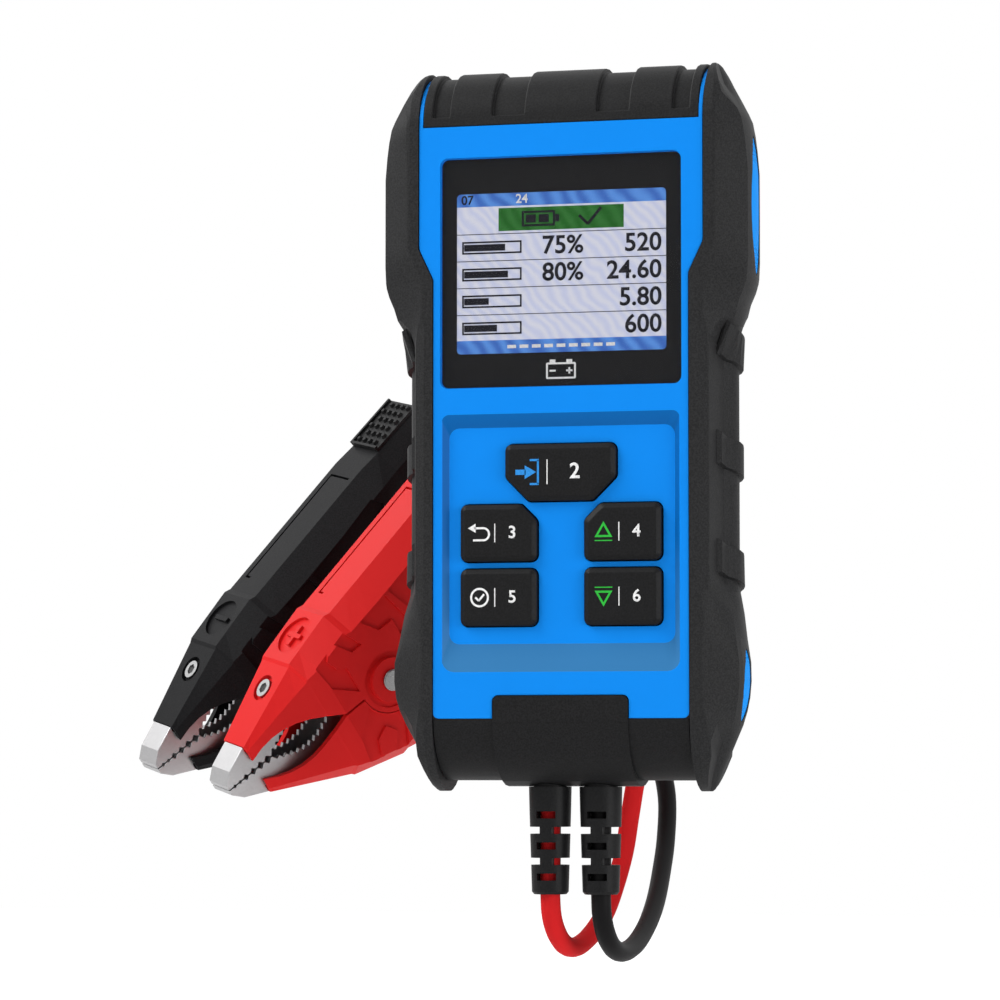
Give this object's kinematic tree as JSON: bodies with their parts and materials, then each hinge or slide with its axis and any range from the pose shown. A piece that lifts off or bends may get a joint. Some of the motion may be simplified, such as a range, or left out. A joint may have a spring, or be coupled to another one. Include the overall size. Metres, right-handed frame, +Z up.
{
  "type": "handheld battery tester",
  "caption": "Handheld battery tester: blue and black housing with a colour display, key pad, rubber side guards, strain-relieved leads and sprung clamps with toothed jaws.",
  "frame": {"origin": "centre of the flat back face of the housing", "axes": "+Z up along the housing towards the display end, +Y from the display face through the depth out of the back, +X to the right of the display face"},
  "size_m": [0.1934, 0.1587, 0.2416],
  "materials": {
    "blue_plastic": "fine satin texture",
    "black_plastic": "fine satin texture",
    "black_rubber": "soft matte rubber",
    "window_clear": "clear pane with a black printed border",
    "lcd": "lit colour display",
    "light_plastic": "bare moulding",
    "board_green": "solder resist",
    "silicone_grey": "soft matte",
    "steel": "plain bright steel",
    "key_black": "satin with printed icons",
    "relay_blue": "bare moulding",
    "ceramic": "bare ceramic",
    "brass": "bare metal",
    "lead_red": "smooth jacket",
    "lead_black": "smooth jacket",
    "clamp_red": "fine semi-gloss moulding",
    "clamp_black": "fine semi-gloss moulding"
  },
  "bodies": {
    "tester": {"front_shell": "blue_plastic", "rear_shell": "black_plastic", "top_cover": "black_plastic", "bottom_cover": "black_plastic", "left_guard": "black_rubber", "right_guard": "black_rubber", "left_upper_inset": "blue_plastic", "left_lower_inset": "blue_plastic", "right_upper_inset": "blue_plastic", "right_lower_inset": "blue_plastic", "display_window": "window_clear", "lcd_panel": "lcd", "lcd_holder": "light_plastic", "main_board": "board_green", "keypad_mat": "silicone_grey", "key_switches": "steel", "buzzer": "black_plastic", "load_relay": "relay_blue", "load_resistor": "ceramic", "lead_terminals": "brass", "case_screws": "steel", "board_screws": "steel", "strain_relief_red": "black_rubber", "strain_relief_black": "black_rubber", "lead_red": "lead_red", "lead_black": "lead_black", "red_lower_arm": "clamp_red", "red_lower_jaw": "steel", "red_rivet": "steel", "red_spring": "steel", "red_lower_screw": "steel", "red_lower_pad": "black_rubber", "black_lower_arm": "clamp_black", "black_lower_jaw": "steel", "black_rivet": "steel", "black_spring": "steel", "black_lower_screw": "steel", "black_lower_pad": "black_rubber"},
    "key_enter": {"key_enter": "key_black"},
    "key_back": {"key_back": "key_black"},
    "key_up": {"key_up": "key_black"},
    "key_check": {"key_check": "key_black"},
    "key_down": {"key_down": "key_black"},
    "red_clamp_arm": {"red_upper_arm": "clamp_red", "red_upper_jaw": "steel", "red_upper_screw": "steel", "red_upper_pad": "black_rubber"},
    "black_clamp_arm": {"black_upper_arm": "clamp_black", "black_upper_jaw": "steel", "black_upper_screw": "steel", "black_upper_pad": "black_rubber"}
  },
  "joints": [
    {"name": "key_enter_press", "type": "slide", "parent": "tester", "child": "key_enter", "axis": [0, 1, 0], "range_m": [0, 0.0007], "stiffness_N_per_m": 600},
    {"name": "key_back_press", "type": "slide", "parent": "tester", "child": "key_back", "axis": [0, 1, 0], "range_m": [0, 0.0007], "stiffness_N_per_m": 600},
    {"name": "key_up_press", "type": "slide", "parent": "tester", "child": "key_up", "axis": [0, 1, 0], "range_m": [0, 0.0007], "stiffness_N_per_m": 600},
    {"name": "key_check_press", "type": "slide", "parent": "tester", "child": "key_check", "axis": [0, 1, 0], "range_m": [0, 0.0007], "stiffness_N_per_m": 600},
    {"name": "key_down_press", "type": "slide", "parent": "tester", "child": "key_down", "axis": [0, 1, 0], "range_m": [0, 0.0007], "stiffness_N_per_m": 600},
    {"name": "red_clamp_hinge", "type": "hinge", "parent": "tester", "child": "red_clamp_arm", "pos_m": [-0.074, 0.0305, -0.0635], "axis": [0.7273, -0.6616, -0.1823], "range_deg": [-30, 0], "stiffness_Nm_per_rad": 1.2, "springref_deg": 17.19, "deforming": ["red_spring"]},
    {"name": "black_clamp_hinge", "type": "hinge", "parent": "tester", "child": "black_clamp_arm", "pos_m": [-0.105, 0.058, -0.0575], "axis": [0.7273, -0.6616, -0.1823], "range_deg": [-30, 0], "stiffness_Nm_per_rad": 1.2, "springref_deg": 17.19, "deforming": ["black_spring"]}
  ]
}
